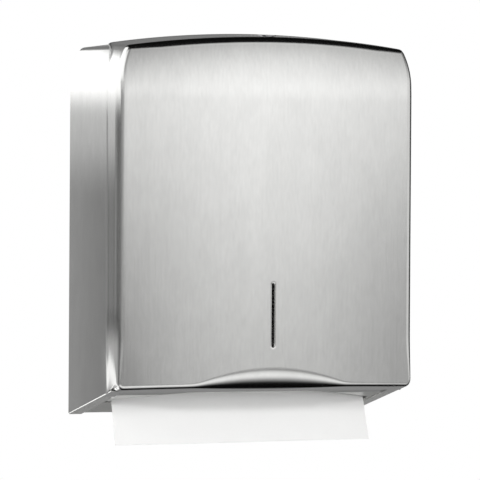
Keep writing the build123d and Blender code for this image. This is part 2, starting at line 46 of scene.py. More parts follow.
class Signal:
    """One output in a node tree, so that sums on it are written as plain Python."""

    def __init__(self, socket):
        self.socket = socket

    @staticmethod
    def node(tree, kind, settings, sockets):
        """Adds a node: its settings come first, then the values or links of its inputs."""
        made = tree.nodes.new(kind)
        for key, value in settings.items():
            setattr(made, key, value)
        for key, value in sockets.items():
            if isinstance(value, Signal):
                tree.links.new(value.socket, made.inputs[key])
            else:
                made.inputs[key].default_value = value
        return made

    @classmethod
    def of(cls, tree, kind, settings, sockets, output=0):
        """Adds a node and gives one of its outputs."""
        return cls(cls.node(tree, kind, settings, sockets).outputs[output])

    def sum_with(self, operation, first, second):
        """Adds one Math node for an expression."""
        tree = self.socket.id_data
        return Signal.of(tree, "ShaderNodeMath", {"operation": operation}, {0: first, 1: second})

    def __add__(self, other):
        return self.sum_with("ADD", self, other)

    def __radd__(self, other):
        return self.sum_with("ADD", other, self)

    def __sub__(self, other):
        return self.sum_with("SUBTRACT", self, other)

    def __rsub__(self, other):
        return self.sum_with("SUBTRACT", other, self)

    def __mul__(self, other):
        return self.sum_with("MULTIPLY", self, other)

    def __rmul__(self, other):
        return self.sum_with("MULTIPLY", other, self)

    def __abs__(self):
        return self.sum_with("ABSOLUTE", self, 0.0)

    def above(self, other):
        """The larger of this and another value."""
        return self.sum_with("MAXIMUM", self, other)

    def eased(self, low, high):
        """0 at low and 1 at high, with a soft start and end."""
        tree = self.socket.id_data
        sockets = {"Value": self, "From Min": low, "From Max": high}
        return Signal.of(tree, "ShaderNodeMapRange", {"interpolation_type": "SMOOTHSTEP"}, sockets)


def new_finish(name):
    """A new material, its node tree and its shader node."""
    material = bpy.data.materials.new(name)
    material.use_nodes = True
    return material, material.node_tree, material.node_tree.nodes["Principled BSDF"]


def own_place(tree):
    """Places on the piece itself, in metres."""
    return Signal.of(tree, "ShaderNodeTexCoord", {}, {}, "Object")


def parts_of(tree, vector):
    """The X, Y and Z of a vector."""
    parts = Signal.node(tree, "ShaderNodeSeparateXYZ", {}, {"Vector": vector})
    return [Signal(parts.outputs[axis]) for axis in "XYZ"]


NOISE_MIDDLE = 0.5


def stretched_noise(tree, scale, detail):
    """Noise on the piece's own coordinates, stretched by a scale for each axis (per metre)."""
    spread = Signal.of(tree, "ShaderNodeMapping", {}, {"Vector": own_place(tree), "Scale": scale})
    return Signal.of(tree, "ShaderNodeTexNoise", {}, {"Vector": spread, "Scale": 1.0, "Detail": detail})


MIX_FACTOR = 0
MIX_FIRST = 6
MIX_SECOND = 7
MIX_COLOUR = 2


def shaded(tree, tone, colour, dark, light):
    """A colour that runs from a darker to a lighter shade of itself as a tone rises from 0 to 1."""
    first, second = [tuple(part * level for part in colour) + (1.0,) for level in (dark, light)]
    sockets = {MIX_FACTOR: tone, MIX_FIRST: first, MIX_SECOND: second}
    return Signal.of(tree, "ShaderNodeMix", {"data_type": "RGBA"}, sockets, MIX_COLOUR)


def bumped(tree, height, strength, distance):
    """A normal raised and lowered by a height."""
    sockets = {"Height": height, "Strength": strength, "Distance": distance}
    return Signal.of(tree, "ShaderNodeBump", {}, sockets)


def joined(tree, output, shader, socket):
    """Links a worked-out value to one of the shader's inputs."""
    tree.links.new(output.socket, shader.inputs[socket])


GRAIN_ACROSS = 1100.0
GRAIN_ALONG = 5.0
GRAIN_SHARE = 0.4
DASH_ACROSS = 520.0
DASH_ALONG = 110.0
DASH_SHARE = 0.8
SCRATCH_ACROSS = 4200.0
SCRATCH_ALONG = 45.0
STREAK_SCALE = (65.0, 65.0, 42.0)
STREAK_SHARE = 0.9
TONE_EXCESS = (GRAIN_SHARE + DASH_SHARE + STREAK_SHARE - 1.0) / 2.0
HANDLING_SCALE = (9.0, 9.0, 6.0)
LEVEL_FROM = 0.55
LEVEL_FULL = 0.85


def along_grain(tree, level, across, along, detail):
    """Noise drawn out along the grain: up the walls, and along X where the sheet lies level."""
    on_walls = stretched_noise(tree, (across, across, along), detail)
    on_top = stretched_noise(tree, (along, across, along), detail)
    return on_walls * (1.0 - level) + on_top * level


def brushed_steel(name, colour, roughness, grain):
    """Stainless sheet with a fine grain, short dashes, scratches and broad streaks."""
    material, tree, shader = new_finish(name)
    facing = Signal.of(tree, "ShaderNodeTexCoord", {}, {}, "Normal")
    level = abs(parts_of(tree, facing)[2]).eased(LEVEL_FROM, LEVEL_FULL)
    grains = along_grain(tree, level, GRAIN_ACROSS, GRAIN_ALONG, detail=3.0)
    scratches = along_grain(tree, level, SCRATCH_ACROSS, SCRATCH_ALONG, detail=2.0)
    dashes = along_grain(tree, level, DASH_ACROSS, DASH_ALONG, detail=3.0)
    streaks = stretched_noise(tree, STREAK_SCALE, detail=5.0)
    handling = stretched_noise(tree, HANDLING_SCALE, detail=4.0)
    tone = GRAIN_SHARE * grains + DASH_SHARE * dashes + STREAK_SHARE * streaks - TONE_EXCESS
    joined(tree, shaded(tree, tone, colour, dark=0.925, light=1.075), shader, "Base Color")
    rough = roughness + 0.08 * (grains - NOISE_MIDDLE) + 0.05 * (handling - NOISE_MIDDLE)
    joined(tree, rough, shader, "Roughness")
    height = 0.6 * grains + 0.4 * scratches
    joined(tree, bumped(tree, height, strength=grain, distance=0.0002), shader, "Normal")
    shader.inputs["Metallic"].default_value = 1.0
    return material


def dress(material, *names):
    """Gives CAD nodes a finish."""
    for name in names:
        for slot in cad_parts[name].material_slots:
            slot.material = material


STAINLESS = (0.62, 0.62, 0.61)
casing_steel = brushed_steel("casing_brushed_steel", STAINLESS, roughness=0.2, grain=0.025)
dress(casing_steel, "casing_wrap")

# The plain steel inside: the wall plate, the two plates round the towel mouth, and the rails that keep the
# towels in the middle. They are folded from bright rolled sheet and spot welded to the casing.
INNER_STEEL = (0.56, 0.56, 0.55)
BLOOM_SCALE = (40.0, 40.0, 40.0)
ROLLING_SCALE = (900.0, 25.0, 60.0)


def rolled_steel(name, colour, roughness):
    """Rolled sheet with a soft cloudy bloom and faint rolling marks."""
    material, tree, shader = new_finish(name)
    bloom = stretched_noise(tree, BLOOM_SCALE, detail=5.0)
    rolling = stretched_noise(tree, ROLLING_SCALE, detail=2.0)
    joined(tree, shaded(tree, bloom, colour, dark=0.86, light=1.08), shader, "Base Color")
    rough = roughness + 0.16 * (bloom - NOISE_MIDDLE) + 0.06 * (rolling - NOISE_MIDDLE)
    joined(tree, rough, shader, "Roughness")
    joined(tree, bumped(tree, rolling, strength=0.05, distance=0.0002), shader, "Normal")
    shader.inputs["Metallic"].default_value = 1.0
    return material


inner_steel = rolled_steel("inner_rolled_steel", INNER_STEEL, roughness=0.33)
dress(inner_steel, "back_plate", "floor_plate", "towel_lip", "guide_left", "guide_right", "keeper")

# The hinges at the foot of the cover: brackets riveted inside the casing, lugs on the cover and headed pins.
# They are pressed from zinc-plated strip, with a nylon washer in each joint.
ZINC = (0.55, 0.57, 0.6)
hinge_steel = rolled_steel("hinge_zinc_steel", ZINC, roughness=0.28)
dress(hinge_steel, "hinge_bracket_left", "hinge_bracket_right", "hinge_pin_left", "hinge_pin_right")
dress(hinge_steel, "cover_lug_left", "cover_lug_right")
NYLON = (0.78, 0.76, 0.7)
MOULD_SCALE = (120.0, 120.0, 120.0)


def moulded(name, colour, roughness, pit):
    """Moulded plastic or rubber with a fine matt skin."""
    material, tree, shader = new_finish(name)
    skin = stretched_noise(tree, (pit, pit, pit), detail=3.0)
    cloud = stretched_noise(tree, MOULD_SCALE, detail=2.0)
    joined(tree, shaded(tree, cloud, colour, dark=0.9, light=1.08), shader, "Base Color")
    joined(tree, roughness + 0.15 * (skin - NOISE_MIDDLE), shader, "Roughness")
    joined(tree, bumped(tree, skin, strength=0.25, distance=0.0001), shader, "Normal")
    return material


washer_nylon = moulded("washer_nylon", NYLON, roughness=0.45, pit=2500.0)
dress(washer_nylon, "hinge_washer_left", "hinge_washer_right")

# Two rubber pads on the casing's top carry the cover's rim when it is shut, and keep it from ringing.
# They are punched from black rubber sheet and glued down.
RUBBER = (0.025, 0.025, 0.026)
dress(moulded("pad_rubber", RUBBER, roughness=0.7, pit=3500.0), "rest_pads")

# The front cover: one sheet of brushed stainless steel pressed into a shallow tray. It is bowed from side to
# side, leans back at the top, and rolls under along the middle of its lower edge to make a finger grip.
# A narrow slot with pressed-in lips shows how many towels are left. The hinge lugs are welded in.
MM = 0.001
LOWEST_EDGE = -170.0
COVER_HALF = 137.0
COVER_DEPTH = 133.0
BOW_R = 663.67
LEAN_START = 272.0
LEAN_REACH = 60.0
LEAN_R = 217.0
SHOULDER_START = 286.0
SHOULDER_R = 67.0
SHOULDER_POINTS = 120
COVER_APEX = 329.5
ARCH_R = 870.0
ARCH_POINTS = 160
TOP_CORNER_R = 7.0
TOP_CORNER_POINTS = 60
TOP_DEPTH = 68.0
TOP_FALL = math.tan(math.radians(3.3))
TOP_EASE = 30.0
RIM_LOW_Y = -93.8
RIM_HIGH_Y = -88.0
RIM_SWEEP = 32.0
SLANT = math.radians(13.2)
COVER_DROP = 1.5
SIDE_ROUND = 9.5
SIDE_TIGHTENS = (285.0, 318.0)
TOP_ROUND = 8.0
TOP_TIGHTENS = (100.0, 128.0)
CORNER_ROUND = 5.6
FOOT_SAG = 1.3
FOOT_ROUND = 4.2
FOOT_CORNER = 6.0
FOOT_LIFT = 0.8
FOOT_EASE = 45.0
FOOT_TUCK = 0.15
FOOT_FAN_TOP = 120.0
FOOT_RIM_Y = -104.5
FOOT_RIM_HALF = 130.0
FOOT_END_Y = -109.0
GRIP_ROUND = 20.0
GRIP_HALF = 72.0
GRIP_END_ROUND = 2.5
GRIP_BLEND = 2.0
SHEET_THICKNESS = 1.0
ROUND_STEPS = 14
WALL_STEPS = 5
HEM_PROUD = 0.5
HEM_LENGTH = 6.0
HEM_STEPS = [(4.6, 0.5), (3.4, 1.0), (2.7, 0.9), (1.8, 0.5), (0.9, 0.05), (0.0, -0.45)]
SLOT_MIDDLE = 90.3
SLOT_SPINE = 25.4
SLOT_OPENING = 1.1
SLOT_LIP = 2.0
SLOT_LIP_DEPTH = 1.1
SLOT_REACH = 6.0
SLOT_FADE = 1.5
SETTLE_STEPS = 6
TINY = 0.01


def front_y(x, h):
    """How far forward the cover's front is, bowed across and leaning back at the top."""
    bow = BOW_R - COVER_DEPTH - np.sqrt(BOW_R ** 2 - x ** 2)
    rise = np.clip(h - LEAN_START, 0.0, LEAN_REACH)
    return bow + LEAN_R - np.sqrt(LEAN_R ** 2 - rise ** 2)


def foot_height(y):
    """The height of the cover's slanted lower face at a depth."""
    return -y * math.tan(SLANT) - COVER_DROP / math.cos(SLANT)


foot_lowest = foot_height(front_y(COVER_HALF - FOOT_CORNER, 0.0))
foot_middle = foot_lowest + FOOT_CORNER


def arc_points(centre, radius, start, end, count):
    """Points and inward directions along one arc of the cover's outline."""
    turn = np.linspace(start, end, count)
    out = np.stack([np.cos(turn), np.sin(turn)], axis=1)
    return np.array(centre) + radius * out, -out


def half_outline():
    """The right half of the cover's outline at its rear edge, the ways inward, and where its corner turns."""
    shoulder = np.array([COVER_HALF - SHOULDER_R, SHOULDER_START])
    arch = np.array([0.0, COVER_APEX - ARCH_R])
    near, far = SHOULDER_R - TOP_CORNER_R, ARCH_R - TOP_CORNER_R
    apart = shoulder - arch
    span = np.linalg.norm(apart)
    along = (far ** 2 - near ** 2 + span ** 2) / (2.0 * span)
    aside = math.sqrt(far ** 2 - along ** 2)
    unit = apart / span
    corner = arch + along * unit + aside * np.array([unit[1], -unit[0]])
    low = math.atan2(*(corner - shoulder)[::-1])
    high = math.atan2(*(corner - arch)[::-1])
    straight = np.array([[COVER_HALF, 0.0], [COVER_HALF, SHOULDER_START - TINY]])
    runs = [
        (straight, np.array([[-1.0, 0.0], [-1.0, 0.0]])),
        arc_points(shoulder, SHOULDER_R, 0.0, low, SHOULDER_POINTS),
        arc_points(corner, TOP_CORNER_R, low, high, TOP_CORNER_POINTS),
        arc_points(arch, ARCH_R, high, math.pi / 2.0, ARCH_POINTS),
    ]
    points = np.concatenate([run[0] for run in runs])
    inward = np.concatenate([run[1] for run in runs])
    turn = (low + high) / 2.0
    middle = corner + TOP_CORNER_R * np.array([math.cos(turn), math.sin(turn)])
    return points, inward, middle


outline, outline_inward, corner_middle = half_outline()


def rim_y(h):
    """The depth of the cover's rear edge at a height: nearly upright, then sweeping back over the top."""
    straight = np.interp(h, [0.0, SHOULDER_START], [RIM_LOW_Y, RIM_HIGH_Y])
    swing = np.clip((h - SHOULDER_START) / RIM_SWEEP, 0.0, 1.0)
    return straight + (-TOP_DEPTH - straight) * (1.0 - np.sqrt(1.0 - swing ** 2))


def side_radius(h):
    """The rounding up the sides, easing to the foot's and a little tighter into the top corner."""
    part = np.clip((h - foot_lowest) / FOOT_EASE, 0.0, 1.0)
    eased = part * part * (3.0 - 2.0 * part)
    plain = FOOT_ROUND + (SIDE_ROUND - FOOT_ROUND) * eased
    return min(plain, float(np.interp(h, SIDE_TIGHTENS, (SIDE_ROUND, CORNER_ROUND))))


def top_radius(x):
    """The rounding along the top, a little tighter into the corners."""
    return float(np.interp(abs(x), TOP_TIGHTENS, (TOP_ROUND, CORNER_ROUND)))


def foot_radius(x):
    """The rounding along the lower edge, swelling into the grip in the middle."""
    grip = GRIP_END_ROUND + (GRIP_ROUND - GRIP_END_ROUND) * (1.0 - (x / GRIP_HALF) ** 2)
    return 0.5 * (FOOT_ROUND + grip + math.sqrt((FOOT_ROUND - grip) ** 2 + GRIP_BLEND ** 2))


def foot_inset(h):
    """How far the wall draws in where its rounding is tighter, so that the cover's edge stays straight."""
    return FOOT_TUCK * (SIDE_ROUND - side_radius(h)) if h < SHOULDER_START - FOOT_EASE else 0.0


foot_inner = COVER_HALF - FOOT_CORNER - foot_inset(foot_lowest)


def side_place(h):
    """The sharp corner point, wall and front directions, and rim point on the right side at a height."""
    y = front_y(COVER_HALF, h)
    for _ in range(SETTLE_STEPS):
        level = h - (y + TOP_DEPTH) * TOP_FALL
        x = np.interp(level, outline[:, 1], outline[:, 0])
        y = front_y(x, h)
    if h < foot_middle:
        turn = math.asin(np.clip((foot_middle - h) / FOOT_CORNER, 0.0, 1.0))
        x = COVER_HALF - foot_inset(h) - FOOT_CORNER + FOOT_CORNER * math.cos(turn)
        y = front_y(x, h)
        inward = np.array([-math.cos(turn), math.sin(turn)])
        back = np.array([0.0, 1.0, -math.tan(SLANT)])
        rim = np.array([x, FOOT_END_Y, h + (y - FOOT_END_Y) * math.tan(SLANT)])
        return np.array([x, y, h]), back, inward, rim
    inward = np.array([np.interp(level, outline[:, 1], outline_inward[:, axis]) for axis in (0, 1)])
    edge = rim_y(h)
    fan = np.clip((FOOT_FAN_TOP - h) / (FOOT_FAN_TOP - foot_middle), 0.0, 1.0)
    drop = foot_middle - (foot_height(edge) + FOOT_LIFT)
    ease = np.clip((h - SHOULDER_START + TOP_EASE) / TOP_EASE, 0.0, 1.0)
    rim_h = h + (edge - y) * TOP_FALL * ease - fan * drop
    rim_x = np.interp(rim_h - (edge + TOP_DEPTH) * TOP_FALL, outline[:, 1], outline[:, 0])
    rim = np.array([rim_x, edge, rim_h])
    x = x - foot_inset(h)
    place = np.array([x, front_y(x, h), h])
    return place, rim - place, inward, rim


def top_place(x):
    """The same for a place along the arched top."""
    off_middle = abs(x)
    order = np.argsort(outline[:, 0])
    reach = outline[order, 0]
    level = np.interp(off_middle, reach, outline[order, 1])
    inward = np.array([np.interp(off_middle, reach, outline_inward[order, axis]) for axis in (0, 1)])
    inward[0] *= 1.0 if x > 0.0 else -1.0
    h = level
    for _ in range(SETTLE_STEPS):
        y = front_y(x, h)
        h = level + (y + TOP_DEPTH) * TOP_FALL
    rim = np.array([x, -TOP_DEPTH, level])
    place = np.array([x, front_y(x, h), h])
    return place, rim - place, inward, rim


def foot_place(x):
    """The same for a place along the slanted lower edge."""
    off_middle = abs(x)
    side = 1.0 if x > 0.0 else -1.0
    inward = np.array([0.0, 1.0])
    h = foot_height(front_y(off_middle, 0.0))
    if off_middle > foot_inner:
        turn = math.asin((off_middle - foot_inner) / FOOT_CORNER)
        h = foot_lowest + FOOT_CORNER * (1.0 - math.cos(turn))
        inward = np.array([-side * math.sin(turn), math.cos(turn)])
    edge = FOOT_RIM_Y if off_middle < FOOT_RIM_HALF else FOOT_END_Y
    rim = np.array([x, edge, h + (front_y(x, h) - edge) * math.tan(SLANT)])
    h -= FOOT_SAG * max(0.0, 1.0 - (off_middle / foot_inner) ** 2)
    place = np.array([x, front_y(x, h), h])
    return place, rim - place, inward, rim


def rounding(place, back, inward, rim, radius, hem):
    """Points from the front face round the edge to the wall, then back to the rim and over its hem."""
    ahead = front_y(place[0] + TINY * inward[0], place[2] + TINY * inward[1])
    across = np.array([inward[0], (ahead - place[1]) / TINY, inward[1]])
    across /= np.linalg.norm(across)
    back = back / np.linalg.norm(back)
    half_angle = math.acos(np.clip(back @ across, -1.0, 1.0)) / 2.0
    middle = back + across
    middle /= np.linalg.norm(middle)
    centre = place + middle * radius / math.sin(half_angle)
    reach = radius / math.tan(half_angle)
    first = place + across * reach - centre
    last = place + back * reach - centre
    sweep = math.pi - 2.0 * half_angle
    points = []
    for count in range(ROUND_STEPS + 1):
        part = count / ROUND_STEPS
        mixed = (math.sin((1.0 - part) * sweep) * first + math.sin(part * sweep) * last) / math.sin(sweep)
        points.append(centre + mixed)
    points[0][1] = front_y(points[0][0], points[0][2])
    wall_start = points[-1]
    run = rim - wall_start
    run_length = np.linalg.norm(run)
    for count in range(1, WALL_STEPS + 1):
        points.append(wall_start + run * (1.0 - HEM_LENGTH / run_length) * count / WALL_STEPS)
    outward = np.array([-inward[0], 0.0, -inward[1]]) * hem
    for before, share in HEM_STEPS:
        points.append(rim - run * before / run_length + outward * share)
    return points


SLOT_RINGS = [0.0, 0.55, SLOT_OPENING, 1.16, 1.3, 1.54, 1.9, 2.4, SLOT_OPENING + SLOT_LIP, 3.8, 4.8]
BESIDE_SLOT = [7.0, 10.0]
FIRST_COLUMN = 14.0
LAST_COLUMN = 129.0
COLUMN_STEP = 3.5
END_COLUMNS = [129.8, 131.2, 132.4, 133.4]
half_columns = SLOT_RINGS + BESIDE_SLOT
half_columns += list(np.arange(FIRST_COLUMN, LAST_COLUMN, COLUMN_STEP)) + END_COLUMNS
foot_corner = foot_inner + FOOT_CORNER * math.sin(math.pi / 4.0)
columns = np.array([-c for c in half_columns[:0:-1]] + half_columns)
columns = np.concatenate([[-1.0], columns / foot_corner, [1.0]])
top_rounds = []
foot_rounds = []
for column in columns:
    top_x = column * corner_middle[0]
    foot_x = column * foot_corner
    top_rounds.append(rounding(*top_place(top_x), top_radius(top_x), HEM_PROUD))
    foot_rounds.append(rounding(*foot_place(foot_x), foot_radius(foot_x), 0.0))

LOW_ROWS = 12
LOW_ROWS_CROWD = 1.6
LOW_ROWS_GAP = 2.5
SLOT_ROWS = 16
MIDDLE_ROWS = 45
MIDDLE_ROWS_GAP = 4.0
LEAN_ROWS = 24
LEAN_ROWS_GAP = 2.0
middle_column = len(columns) // 2
low_h = foot_rounds[middle_column][0][2]
high_h = top_rounds[middle_column][0][2]
slot_low = [SLOT_MIDDLE - SLOT_SPINE - ring for ring in SLOT_RINGS[::-1]]
slot_high = [SLOT_MIDDLE + SLOT_SPINE + ring for ring in SLOT_RINGS]
climb = slot_low[0] - LOW_ROWS_GAP - low_h
rows = list(low_h + climb * np.linspace(0.0, 1.0, LOW_ROWS) ** LOW_ROWS_CROWD) + slot_low
rows += list(np.linspace(slot_low[-1], slot_high[0], SLOT_ROWS)[1:-1]) + slot_high
rows += list(np.linspace(slot_high[-1], LEAN_START - MIDDLE_ROWS_GAP, MIDDLE_ROWS)[1:])
rows += list(np.linspace(LEAN_START - LEAN_ROWS_GAP, high_h, LEAN_ROWS))
heights = np.array(rows)
levels = (heights - low_h) / (high_h - low_h)
side_low = foot_place(foot_corner)[0][2]
side_high = top_place(corner_middle[0])[0][2]
side_rounds = []
for level in levels[1:-1]:
    h = side_low + level * (side_high - side_low)
    hem = HEM_PROUD * float(np.clip((h - side_low) / FOOT_ROUND - 1.0, 0.0, 1.0))
    side_rounds.append(rounding(*side_place(h), side_radius(h), hem))
right_rounds = [foot_rounds[-1]] + side_rounds + [top_rounds[-1]]
flip = np.array([-1.0, 1.0, 1.0])
flipped_rounds = [[point * flip for point in rounds] for rounds in side_rounds]
left_rounds = [foot_rounds[0]] + flipped_rounds + [top_rounds[0]]

points = []
faces = []
front = np.zeros((len(levels), len(columns)), dtype=int)
across = (columns + 1.0) / 2.0
for row, v in enumerate(levels):
    for column, u in enumerate(across):
        foot, top = foot_rounds[column][0], top_rounds[column][0]
        left, right = left_rounds[row][0], right_rounds[row][0]
        corners = (1 - u) * (1 - v) * foot_rounds[0][0] + u * (1 - v) * foot_rounds[-1][0]
        corners = corners + (1 - u) * v * top_rounds[0][0] + u * v * top_rounds[-1][0]
        spot = (1 - v) * foot + v * top + (1 - u) * left + u * right - corners
        x, h = spot[0], spot[2]
        beyond = max(0.0, abs(heights[row] - SLOT_MIDDLE) - SLOT_SPINE)
        ring = max(abs(x), beyond)
        if beyond > 0.0 and 0.0 < ring < SLOT_REACH:
            pull = ring / math.hypot(x, beyond)
            pull = 1.0 + (pull - 1.0) * np.clip((SLOT_REACH - ring) / SLOT_FADE, 0.0, 1.0)
            end = SLOT_MIDDLE + math.copysign(SLOT_SPINE, heights[row] - SLOT_MIDDLE)
            x = x * pull
            h = end + (h - end) * pull
        y = front_y(x, h)
        lip = SLOT_LIP - (ring - SLOT_OPENING)
        if lip > 0.0:
            lip = min(lip, SLOT_LIP)
            y += SLOT_LIP_DEPTH * (1.0 - math.sqrt(1.0 - (lip / SLOT_LIP) ** 2))
        front[row, column] = len(points)
        points.append(np.array([x, y, h]))


def in_slot(row, column):
    """Whether a face of the front lies inside the level slot."""
    x = abs(columns[column] + columns[column + 1]) * foot_corner / 2.0
    h = (heights[row] + heights[row + 1]) / 2.0
    return x < SLOT_OPENING and abs(h - SLOT_MIDDLE) - SLOT_SPINE < SLOT_OPENING


for row in range(len(levels) - 1):
    for column in range(len(columns) - 1):
        if not in_slot(row, column):
            low, high = front[row], front[row + 1]
            faces.append((low[column], low[column + 1], high[column + 1], high[column]))

loop = [(foot_rounds[c], front[0, c]) for c in range(len(columns))]
loop += [(right_rounds[r], front[r, -1]) for r in range(1, len(levels))]
loop += [(top_rounds[c], front[-1, c]) for c in range(len(columns) - 2, -1, -1)]
loop += [(left_rounds[r], front[r, 0]) for r in range(len(levels) - 2, 0, -1)]
strips = []
for rounds, start in loop:
    strip = [start]
    for point in rounds[1:]:
        strip.append(len(points))
        points.append(point)
    strips.append(strip)
for count, strip in enumerate(strips):
    following = strips[(count + 1) % len(strips)]
    for step in range(len(strip) - 1):
        faces.append((following[step], strip[step], strip[step + 1], following[step + 1]))


def new_mesh(name, spots, sides):
    """A new object from points in metres and the faces between them."""
    mesh = bpy.data.meshes.new(name)
    mesh.from_pydata(spots, [], sides)
    made = bpy.data.objects.new(name, mesh)
    bpy.context.scene.collection.objects.link(made)
    return made


def placed(name, spots, sides):
    """A new object from points in millimetres, with heights measured from the casing's lowest edge."""
    made = new_mesh(name, [(p[0] * MM, p[1] * MM, (p[2] + LOWEST_EDGE) * MM) for p in spots], sides)
    made.data.validate()
    return made


def loose_ends_off(mesh):
    """Takes out points that no face uses."""
    work = bmesh.new()
    work.from_mesh(mesh)
    bmesh.ops.delete(work, geom=[v for v in work.verts if not v.link_faces], context="VERTS")
    work.to_mesh(mesh)
    work.free()


def baked(made):
    """Turns an object's modifiers into plain mesh."""
    bpy.context.view_layer.update()
    seen = made.evaluated_get(bpy.context.evaluated_depsgraph_get())
    mesh = bpy.data.meshes.new_from_object(seen)
    made.modifiers.clear()
    made.data = mesh
    mesh.name = made.name


def smoothed(made, angle):
    """Smooth shading, with edges kept sharp past an angle in degrees."""
    made.data.shade_smooth()
    made.data.set_sharp_from_angle(angle=math.radians(angle))


def thickened(made, thickness, offset, angle, material):
    """Gives a sheet its thickness in millimetres, its smooth shading and its finish."""
    wall = made.modifiers.new("sheet", "SOLIDIFY")
    wall.thickness = thickness * MM
    wall.offset = offset
    baked(made)
    smoothed(made, angle)
    made.data.materials.clear()
    made.data.materials.append(material)


cover_steel = brushed_steel("cover_brushed_steel", STAINLESS, roughness=0.19, grain=0.025)
cover = placed("front_cover_sheet", points, faces)
loose_ends_off(cover.data)
thickened(cover, SHEET_THICKNESS, offset=-1.0, angle=40.0, material=cover_steel)
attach(cover, "cover")
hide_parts("front_cover")

# The cam lock in the top of the cover: a turned barrel with a thin round head, held by a washer and a nut,
# and a plug that turns a flat cam behind the keeper. The parts are brass and steel, chromium plated.
CHROME = (0.27, 0.27, 0.275)
WEAR_SCALE = (420.0, 420.0, 420.0)
MARK_SCALE = (90.0, 90.0, 90.0)


def plated(name, colour, roughness):
    """Bright plating with faint wear and finger marks."""
    material, tree, shader = new_finish(name)
    wear = stretched_noise(tree, WEAR_SCALE, detail=4.0)
    marks = stretched_noise(tree, MARK_SCALE, detail=3.0)
    joined(tree, shaded(tree, marks, colour, dark=0.92, light=1.04), shader, "Base Color")
    rough = roughness + 0.12 * (wear - NOISE_MIDDLE).above(0.0) + 0.05 * marks
    joined(tree, rough, shader, "Roughness")
    joined(tree, bumped(tree, wear, strength=0.03, distance=0.0001), shader, "Normal")
    shader.inputs["Metallic"].default_value = 1.0
    return material


lock_chrome = plated("lock_chrome_plate", CHROME, roughness=0.12)
dress(lock_chrome, "lock_barrel", "lock_washer", "lock_nut", "lock_plug", "lock_cam", "cam_screw")

# The towels in the casing: a pile of interfolded paper towels that rests on the slanted floor between the
# rails. Each is folded over along its long edges, so the pile shows a run of soft folds front and back.
TOWEL_HALF = 118.0
STACK_BACK = -4.6
STACK_FRONT = -94.2
STACK_SHORT_FRONT = -49.6
STACK_LIFT = 2.5
STACK_TALL = 204.0
LAYER_TALL = 3.4
LAYER_SLACK = 0.15
SHORT_LAYERS = 3
STRAY = 0.35
STRAY_SIDEWAYS_SEED = 7
STRAY_FORE_SEED = 19
FOLD_STEPS = 5
PAPER_CREASE = 60.0
PAPER = (0.8, 0.8, 0.795)
RIDGE_SCALE = (180.0, 1400.0, 1400.0)
PULP_SCALE = (600.0, 600.0, 600.0)
CLOUD_SCALE = (30.0, 30.0, 30.0)
PIP_SCALE = 260.0
PIP_STRAY = 0.15


def crepe_paper(name, colour):
    """Soft creped tissue: fine cross ridges, a cloudy pulp and a faint row of embossed dots."""
    material, tree, shader = new_finish(name)
    ridges = stretched_noise(tree, RIDGE_SCALE, detail=3.0)
    pulp = stretched_noise(tree, PULP_SCALE, detail=5.0)
    cloud = stretched_noise(tree, CLOUD_SCALE, detail=3.0)
    sockets = {"Vector": own_place(tree), "Scale": PIP_SCALE, "Randomness": PIP_STRAY}
    pips = Signal.of(tree, "ShaderNodeTexVoronoi", {"feature": "F1"}, sockets)
    tone = 0.5 * pulp + 0.5 * cloud
    joined(tree, shaded(tree, tone, colour, dark=0.97, light=1.03), shader, "Base Color")
    joined(tree, 0.9 + 0.1 * (pulp - NOISE_MIDDLE), shader, "Roughness")
    height = 0.5 * ridges + 0.3 * pulp + 0.2 * pips
    joined(tree, bumped(tree, height, strength=0.3, distance=0.0003), shader, "Normal")
    return material


towel_paper = crepe_paper("towel_crepe_paper", PAPER)


def folded_towel(name, front_edge, base):
    """One folded towel lying on the slant, with rounded folds front and back."""
    half_tall = LAYER_TALL / 2.0 - LAYER_SLACK
    back_fold = (STACK_BACK - half_tall, -math.pi / 2.0)
    front_fold = (front_edge + half_tall, math.pi / 2.0)
    profile = []
    for middle, start in (back_fold, front_fold):
        for count in range(FOLD_STEPS + 1):
            turn = start + math.pi * count / FOLD_STEPS
            profile.append((middle + half_tall * math.cos(turn), half_tall * math.sin(turn)))
    spots = []
    for x in (-TOWEL_HALF, TOWEL_HALF):
        spots += [(x, y, z + base + half_tall - y * math.tan(SLANT)) for y, z in profile]
    size = len(profile)
    sides = [tuple(range(size)), tuple(range(2 * size - 1, size - 1, -1))]
    for count in range(size):
        after = (count + 1) % size
        sides.append((after, count, size + count, size + after))
    return placed(name, spots, sides)


RANDOM_LOW = 2
RANDOM_HIGH = 3
RANDOM_RESULT = 1


def random_share(tree, seed):
    """A random number from -1 to 1 for each copy."""
    sockets = {RANDOM_LOW: -1.0, RANDOM_HIGH: 1.0, "Seed": seed}
    return Signal.of(tree, "FunctionNodeRandomValue", {"data_type": "FLOAT"}, sockets, RANDOM_RESULT)


